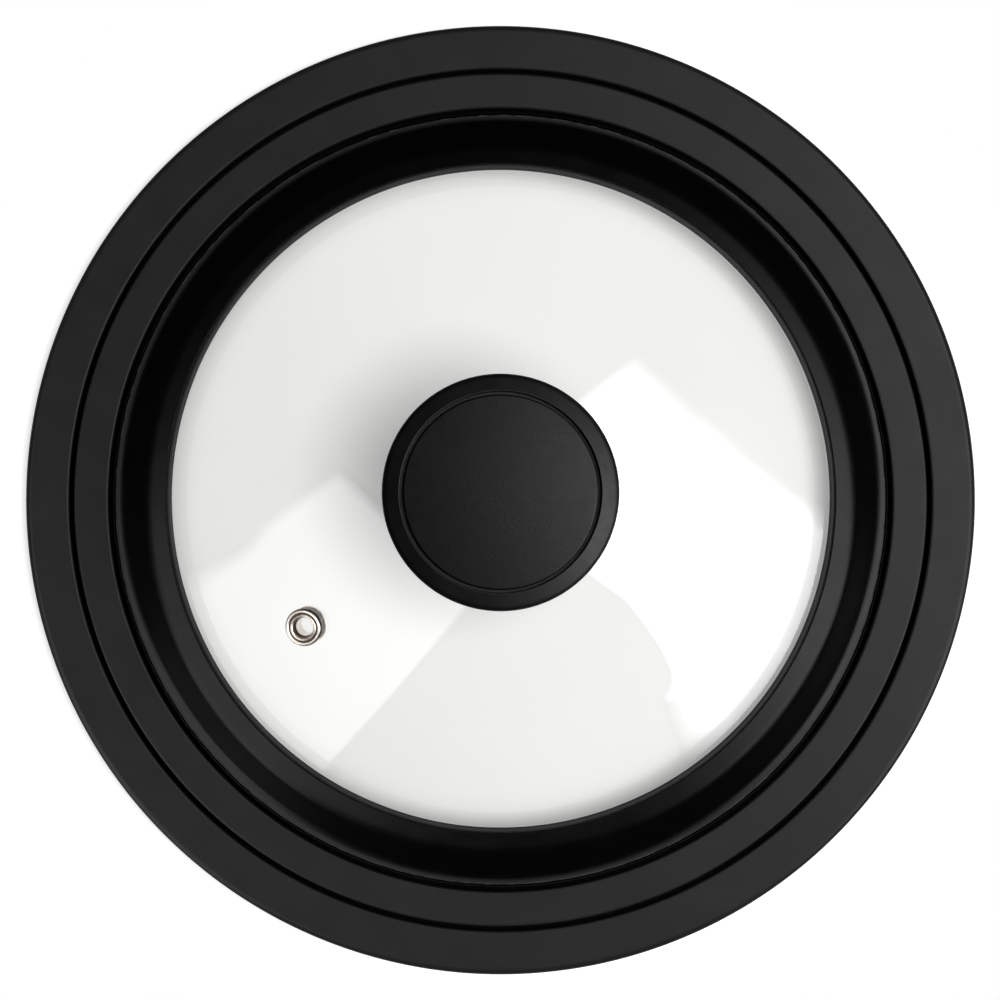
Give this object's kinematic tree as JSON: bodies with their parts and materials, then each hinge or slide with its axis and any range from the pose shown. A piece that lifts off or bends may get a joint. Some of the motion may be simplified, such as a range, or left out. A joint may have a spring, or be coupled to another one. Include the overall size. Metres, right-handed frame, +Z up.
{
  "type": "universal pan lid",
  "caption": "Universal pan lid: domed tempered glass in a black silicone rim whose ribs fit pans of several sizes, with a screwed-on round knob and a riveted steam vent.",
  "frame": {"origin": "on the lid's axis, in the plane of the ribs that it lies on", "axes": "+Z up along the lid's axis towards the knob, +X to the right and +Y to the back in the picture's view"},
  "size_m": [0.212, 0.212, 0.0614],
  "materials": {
    "rim_silicone": "black moulded silicone, satin",
    "tempered_glass": "clear tempered glass, polished, faint green edge",
    "knob_plastic": "black moulded phenolic, fine matt",
    "cap_plastic": "black moulded disc, fine matt",
    "insert_brass": "turned brass",
    "gasket_silicone": "soft black silicone",
    "screw_steel": "stainless steel, turned",
    "vent_steel": "bright stainless steel, pressed"
  },
  "bodies": {
    "lid": {"silicone_rim": "rim_silicone", "glass_disc": "tempered_glass", "knob_gasket": "gasket_silicone", "screw_gasket": "gasket_silicone", "screw_washer": "screw_steel", "vent_rivet": "vent_steel", "vent_washer": "vent_steel", "vent_gasket": "gasket_silicone"},
    "screw": {"knob_screw": "screw_steel"},
    "knob": {"knob_body": "knob_plastic", "knob_cap": "cap_plastic", "knob_insert": "insert_brass"}
  },
  "joints": [
    {"name": "screw_turn", "type": "hinge", "parent": "lid", "child": "screw", "pos_m": [0, 0, 0.02442], "axis": [0, 0, -1], "range_deg": [0, 3600]},
    {"name": "knob_lift", "type": "slide", "parent": "lid", "child": "knob", "axis": [0, 0, 1], "range_m": [0, 0.008]}
  ],
  "couplings": [
    {"joint": "screw_turn", "follows": "knob_lift", "rad_per_m": 7854}
  ]
}
